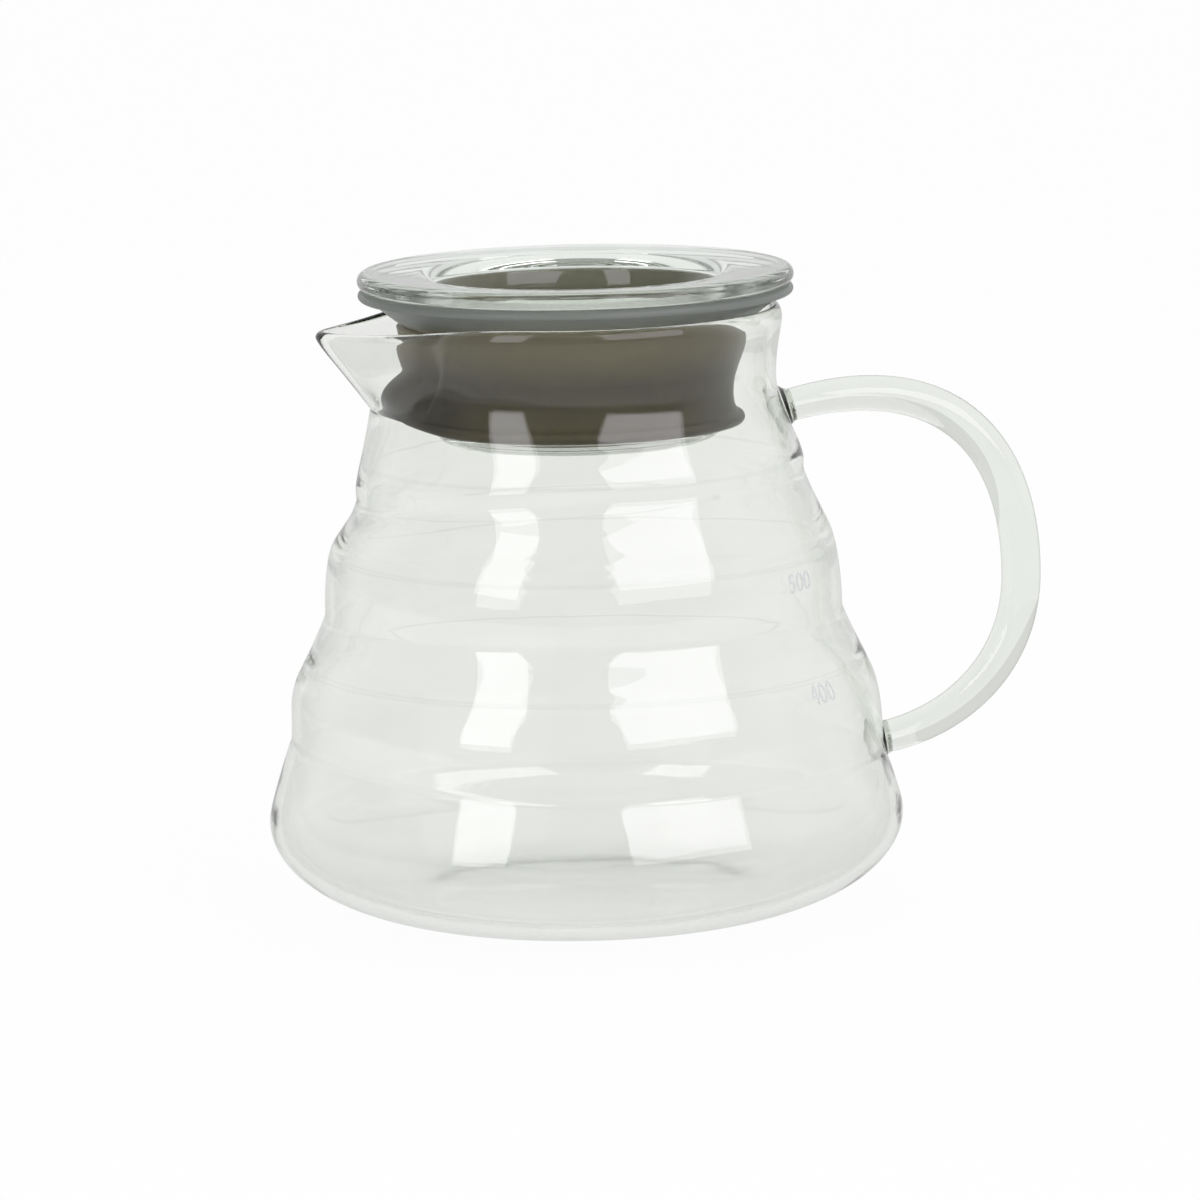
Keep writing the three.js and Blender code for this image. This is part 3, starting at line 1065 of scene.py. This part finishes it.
@dataclass
class LidGlass:
    """Pressed lid: a round-edged dished disc with a deep cup under it."""

    disc_radius: float = 40.16
    disc_bottom: float = 115.65
    thickness: float = 3.3
    dish: float = 0.7
    dish_run: float = 2.5
    cup_radius: float = 27.0
    cup_depth: float = 28.4
    cup_wall: float = 2.4
    cup_floor: float = 2.6
    cup_corner: float = 4.0
    shoulder_width: float = 5.0
    shoulder_depth: float = 7.0
    root_fillet: float = 0.5
    rows: int = 190
    columns: int = 224

    def profile(self) -> Array:
        """Half section from the cup's underside round the disc's edge to the cup's floor.

        Straight lines joined by circular corners, a half circle at the disc's edge, a quadratic curve
        down into the dish and another one at the mouth of the cup.

        Returns:
            Rows of radius and height.
        """
        cup, under = self.cup_radius, self.disc_bottom
        bottom = under - self.cup_depth
        top = under + self.thickness
        edge = self.thickness / 2
        turn = self.cup_corner
        corner = cup - turn
        bore = cup - self.cup_wall
        floor = bottom + self.cup_floor
        inner = turn - self.cup_wall
        dish = top - self.dish
        neck = dish - self.shoulder_depth
        root = self.root_fillet
        middle = self.disc_radius - edge
        mouth = bore + self.shoulder_width
        runs = [
            bezier([(0, bottom), (corner, bottom)]),
            arc((corner, bottom + turn), (turn, turn), -0.5, 0),
            bezier([(cup, bottom + turn), (cup, under - root)]),
            arc((cup + root, under - root), (root, root), 1, 0.5, CORNER_RUN),
            bezier([(cup + root, under), (middle, under)]),
            arc((middle, under + edge), (edge, edge), -0.5, 0.5),
            bezier([(middle, top), (middle - self.dish_run, top), (mouth, dish)]),
            bezier([(mouth, dish), (bore, dish), (bore, neck)]),
            bezier([(bore, neck), (bore, floor + inner)]),
            arc((bore - inner, floor + inner), (inner, inner), 0, -0.5, LINE_RUN),
            bezier([(bore - inner, floor), (0, floor)]),
        ]
        return np.vstack(runs)

    def build(self) -> Object:
        """Turns the section once round the axis.

        Returns:
            The lid.
        """
        profile = spread(self.profile(), self.rows)
        angle = np.linspace(-math.pi, math.pi, self.columns, endpoint=False)[None, :]
        radius, height = (np.repeat(column[:, None], self.columns, axis=1) for column in profile.T)
        return skin("pressed_lid", turned(radius, height, angle), Ends.POLES)

    def dress(self, piece: Object) -> None:
        """Gives the lid its glass and its body."""
        place(piece, PRESSED_GLASS.material(), Body.LID, "lid_glass")


@dataclass
class LidSeal:
    """Silicone ring: flange, cone, hollow waist, foot bead and a tongue that hangs into the spout.

    On each side of the tongue a ridge runs up the wall between two angles from the spout, with a hollow
    beside it. Shares are of the waist's rise, or of the tongue's height.
    """

    pot: PotBody
    disc_radius: float = 40.16
    top: float = 115.35
    bottom: float = 90.05
    bore: float = 27.3
    corner: float = 0.5
    root_radius: float = 32.0
    root_height: float = 109.13
    root_guide: Point = (0.7, 0.3)
    waist_wall: float = 1.4
    waist_rise: float = 5.8
    waist_guide: float = 0.4
    bead_wall: float = 3.4
    bead: float = 2.4
    bead_end: float = 0.3
    edge: float = 1.5
    edge_inset: float = 0.1
    cone_slope: float = 0.78
    tongue_height: float = 13.0
    tongue_lift: float = 3.3
    tongue_press: float = 0.3
    tongue_root: float = 0.3
    tongue_open: float = 0.6
    tongue_nose: float = 0.17
    ridge: float = 1.1
    ridge_width: float = 0.055
    ridge_angles: Point = (0.34, 0.66)
    hollow: float = 2.2
    hollow_width: float = 0.09
    hollow_turn: float = 0.17
    rows: int = 170
    columns: int = 280
    spout_gain: float = 3.0

    def profile(self) -> Array:
        """Closed section of the ring, from its foot up its outside and down its bore.

        An arc at the foot's bead, quadratic and cubic curves up the hollow wall, a straight cone, a half
        circle at the flange's edge, and straight lines over the top and down the bore with small round
        corners.

        Returns:
            Rows of radius and height, the last one the same as the first.
        """
        bead, edge, bore, r = self.bead / 2, self.edge / 2, self.bore, self.corner
        foot = bore + self.bead_wall - bead
        waist = bore + self.waist_wall
        waist_height = self.bottom + self.waist_rise
        rise = self.root_height - waist_height
        round_foot = arc((foot, self.bottom + bead), (bead, bead), -0.5, self.bead_end)
        tip = self.disc_radius - self.edge_inset - edge
        cone_top = self.top - self.edge
        cone_radius = self.root_radius + (cone_top - self.root_height) / self.cone_slope
        out, down = self.root_guide
        root_guide = (waist + out * (self.root_radius - waist), self.root_height - down * rise)
        waist_guide = (waist, waist_height + self.waist_guide * rise)
        root = (self.root_radius, self.root_height)
        runs = [
            bezier([(bore + r, self.bottom), (foot, self.bottom)], CORNER_RUN),
            round_foot,
            bezier([round_foot[-1], (waist, self.bottom + self.bead), (waist, waist_height)]),
            bezier([(waist, waist_height), waist_guide, root_guide, root], WAIST_RUN),
            bezier([root, (cone_radius, cone_top)], LINE_RUN),
            bezier([(cone_radius, cone_top), (tip, cone_top)], CORNER_RUN),
            arc((tip, cone_top + edge), (edge, edge), -0.5, 0.5),
            bezier([(tip, self.top), (bore + r, self.top)], LINE_RUN),
            arc((bore + r, self.top - r), (r, r), 0.5, 1, CORNER_RUN),
            bezier([(bore, self.top - r), (bore, self.bottom + r)], LINE_RUN),
            arc((bore + r, self.bottom + r), (r, r), 1, 1.5, CORNER_RUN),
        ]
        return np.vstack(runs)

    def build(self) -> Object:
        """Turns the section and draws its wall out into the tongue.

        Below the cone the wall moves out by a beak's share of the reach. A sine of the depth below the
        tongue's top opens it, never less than the share of its root, and its foot is lifted by an
        amount that fades up to the waist. A bell of the angle raises each ridge and another one sinks
        the hollow beside it, both times a sine of the height.

        Returns:
            The ring.
        """
        profile = spread(self.profile(), self.rows)[:-1]
        angle = spread_angles(self.columns, self.spout_gain, 0.0)
        radius, height = profile[:, :1], profile[:, 1:]
        inner = self.pot.inner_wall()
        reach = float(self.pot.radius_at(inner, self.bottom + self.tongue_lift)) + self.tongue_press
        drop = (self.bottom + self.tongue_height - height) / self.tongue_height
        fall = np.clip(drop / self.tongue_open, 0, 1)
        flare = np.maximum(self.tongue_root, np.sin(fall * math.pi / 2))
        below = height <= self.root_height + TINY
        cover = np.where(below, np.clip((radius - self.bore) / self.waist_wall, 0, 1), 0)
        share = cover * beak_share(angle, self.bore + self.bead_wall, reach, self.tongue_nose)
        lift = np.maximum(0, 1 - (height - self.bottom) / self.waist_rise) * self.tongue_lift
        level = np.clip((height - self.bottom) / (self.root_height - self.bottom), 0, 1)
        ridge_at = self.ridge_angles[0] + (self.ridge_angles[1] - self.ridge_angles[0]) * level
        turn = np.abs(angle)
        ridge = self.ridge * bell(turn, ridge_at, self.ridge_width)
        hollow = self.hollow * bell(turn, ridge_at - self.hollow_turn, self.hollow_width)
        relief = cover * np.sin(level * math.pi) * (ridge - hollow)
        grid = turned(radius + share * flare * (reach - radius) + relief, height + share * lift, angle)
        return skin("silicone_seal", grid, Ends.RING)

    def dress(self, piece: Object) -> None:
        """Gives the ring its silicone and its body."""
        place(piece, GREY_SILICONE.material(), Body.SEAL, "lid_seal")


@dataclass
class VolumeMark:
    """A volume figure printed on the outer wall, with its height and its azimuth from -Y to +X."""

    pot: PotBody
    figure: str
    height: float
    azimuth: float
    digit_height: float = 3.5
    digit_share: float = 0.7
    thickness: float = 0.05
    clearance: float = 0.04

    def build(self) -> Object:
        """Wraps flat figures on the wall.

        The run along the figures becomes an angle round the axis and their rise a height, and each
        point stands off the wall by a small clearance or by that and the ink's thickness.

        Returns:
            The figures.
        """
        text = bpy.data.curves.new("figures", "FONT")
        text.body = self.figure
        text.align_x, text.align_y = "CENTER", "CENTER"
        text.size = self.digit_height / self.digit_share
        text.extrude = self.thickness / 2
        text.resolution_u = 4
        flat = new_object("figures", text)
        evaluated = flat.evaluated_get(bpy.context.evaluated_depsgraph_get())
        mesh = bpy.data.meshes.new_from_object(evaluated)
        bpy.data.objects.remove(flat)
        points = np.empty(len(mesh.vertices) * 3, np.float32)
        mesh.vertices.foreach_get("co", points)
        run, rise, out = points.reshape(-1, 3).astype(float).T
        height = self.height + rise
        wall = self.pot.radius_at(self.pot.outer_wall(), height)
        angle = math.radians(self.azimuth) + run / wall
        radius = wall + self.clearance + self.thickness / 2 + out
        wrapped = np.column_stack([radius * np.sin(angle), -radius * np.cos(angle), height]) * MM
        mesh.vertices.foreach_set("co", wrapped.astype(np.float32).ravel())
        mesh.update()
        return new_object(f"volume_figure_{self.figure}", mesh)

    def dress(self, piece: Object) -> None:
        """Gives the figures their enamel and their body."""
        piece.data.materials.clear()
        place(piece, GREY_ENAMEL.material(), Body.POT)


@dataclass(frozen=True)
class Window:
    """A tall soft light, seen as a pale pane in the glass."""

    name: str
    azimuth: float  # degrees round the object, from -Y towards +X
    elevation: float  # degrees above the floor
    distance: float  # metres from the object
    size: Point  # width and height in metres
    radiance: float  # brightness of the pane next to white paper
    colour: str

    def build(self, aim: Array) -> None:
        """Makes the light and turns it to the aim point.

        Args:
            aim: Point that the light faces, in metres.
        """
        a, e = math.radians(self.azimuth), math.radians(self.elevation)
        back = np.array([math.sin(a) * math.cos(e), -math.cos(a) * math.cos(e), math.sin(e)])
        data = bpy.data.lights.new(self.name, "AREA")
        data.shape = "RECTANGLE"
        data.size, data.size_y = self.size
        data.energy = self.radiance * math.pi * self.size[0] * self.size[1]
        data.color = linear(self.colour)[:3]
        lamp = new_object(self.name, data)
        lamp.location = aim + back * self.distance
        lamp.rotation_euler = Euler((math.pi / 2 - e, 0.0, a))
        lamp.visible_camera = False


@dataclass
class Studio:
    """White paper, two windows, a pale room and the camera, in metres and degrees.

    The camera's roll is in radians. The room is dim in front and bright behind, and blends between
    the two over a span of the direction along its bright side.
    """

    floor_radius: float = 3.0
    floor_rings: tuple[float, ...] = (0.0, 0.25, 0.6, 1.0)
    floor_columns: int = 64
    floor_drop: float = 0.0002
    room_front: float = 0.34
    room_back: float = 0.82
    room_bright_side: tuple[float, float, float] = (0.5, 0.86, 0.1)
    room_blend: float = 0.35
    aim_height: float = 0.06
    camera_azimuth: float = -8.0
    camera_distance: float = 1.150
    camera_height: float = 0.250
    camera_pitch: float = 9.534
    camera_yaw: float = 0.167
    camera_roll: float = 0.0204
    lens: float = 188.7
    bounces: int = 32
    glossy_bounces: int = 24
    windows: tuple[Window, ...] = (
        Window(
            "left_window",
            azimuth=-47.0,
            elevation=25.0,
            distance=1.4,
            size=(0.50, 0.86),
            radiance=2.9,
            colour="#FDFAFF",
        ),
        Window(
            "right_window",
            azimuth=31.0,
            elevation=26.5,
            distance=1.4,
            size=(1.15, 0.78),
            radiance=2.7,
            colour="#FBF6FF",
        ),
    )

    def lay_floor(self) -> None:
        """Lays a round sheet of paper: points on circles about the axis, a hair under the foot."""
        radius = np.array(self.floor_rings)[:, None] * self.floor_radius
        angle = np.linspace(0, 2 * math.pi, self.floor_columns, endpoint=False)[None, :]
        shape = (len(self.floor_rings), self.floor_columns)
        drop = np.full(shape, -self.floor_drop)
        points = np.stack([radius * np.cos(angle), radius * np.sin(angle), drop], axis=-1)
        index = np.arange(drop.size).reshape(shape)
        mesh = bpy.data.meshes.new("paper_floor")
        mesh.from_pydata(points.reshape(-1, 3).tolist(), [], faces_between(index[:-1], index[1:]))
        mesh.validate()
        mesh.materials.append(WHITE_PAPER.material())
        new_object("paper_floor", mesh)

    def paint_room(self) -> None:
        """Makes a world that is dim in front, bright behind and white to the camera."""
        world = bpy.data.worlds.new("pale_room")
        world.use_nodes = True
        tree = world.node_tree
        tree.nodes.clear()
        node = partial(add_node, tree)
        facing = node(
            "VectorMath",
            {"operation": "DOT_PRODUCT", 1: self.room_bright_side},
            {0: node("TexCoord").outputs["Generated"]},
        )
        level = node(
            "MapRange",
            {
                "interpolation_type": "SMOOTHSTEP",
                "From Min": -self.room_blend,
                "From Max": self.room_blend,
                "To Min": self.room_front,
                "To Max": self.room_back,
            },
            {"Value": facing},
        )
        room = node("Background", {"Color": linear(WHITE)}, {"Strength": level})
        white = node("Background", {"Color": linear(WHITE), "Strength": 1.0})
        seen = node("LightPath").outputs["Is Camera Ray"]
        mixed = node("MixShader", None, {0: seen, 1: room, 2: white})
        node("OutputWorld", None, {"Surface": mixed})
        bpy.context.scene.world = world

    def set_camera(self) -> None:
        """Stands the camera where the picture was taken from, slightly rolled."""
        a = math.radians(self.camera_azimuth)
        data = bpy.data.cameras.new("camera")
        data.lens = self.lens
        data.sensor_width = 36.0
        data.clip_start, data.clip_end = 0.05, 20.0
        yaw = a - math.radians(self.camera_yaw)
        turn = Euler((math.pi / 2 - math.radians(self.camera_pitch), 0.0, yaw)).to_matrix()
        roll = Matrix.Rotation(-self.camera_roll, 3, "Z")
        x, y = self.camera_distance * math.sin(a), -self.camera_distance * math.cos(a)
        camera = new_object("camera", data)
        camera.matrix_world = Matrix.Translation((x, y, self.camera_height)) @ (turn @ roll).to_4x4()
        bpy.context.scene.camera = camera

    def build(self) -> None:
        """Sets up floor, room, lights, camera and the plain view."""
        self.lay_floor()
        self.paint_room()
        aim = np.array([0.0, 0.0, self.aim_height])
        for window in self.windows:
            window.build(aim)
        self.set_camera()
        scene = bpy.context.scene
        scene.view_settings.view_transform = "Standard"
        scene.cycles.max_bounces = self.bounces
        scene.cycles.glossy_bounces = self.glossy_bounces
        scene.cycles.transmission_bounces = self.bounces
        log.info("studio: floor, room, %d windows and camera", len(self.windows))


def main() -> None:
    """Builds and dresses each piece, then the studio."""
    logging.basicConfig(level=logging.INFO, format="%(message)s")
    pot = PotBody()
    parts = (
        pot,
        Handle(pot),
        LidSeal(pot),
        LidGlass(),
        VolumeMark(pot, "500", height=63.7, azimuth=48.0),
        VolumeMark(pot, "400", height=44.0, azimuth=46.2),
    )
    for part in parts:
        part.dress(part.build())
    Studio().build()


if __name__ == "__main__":
    main()
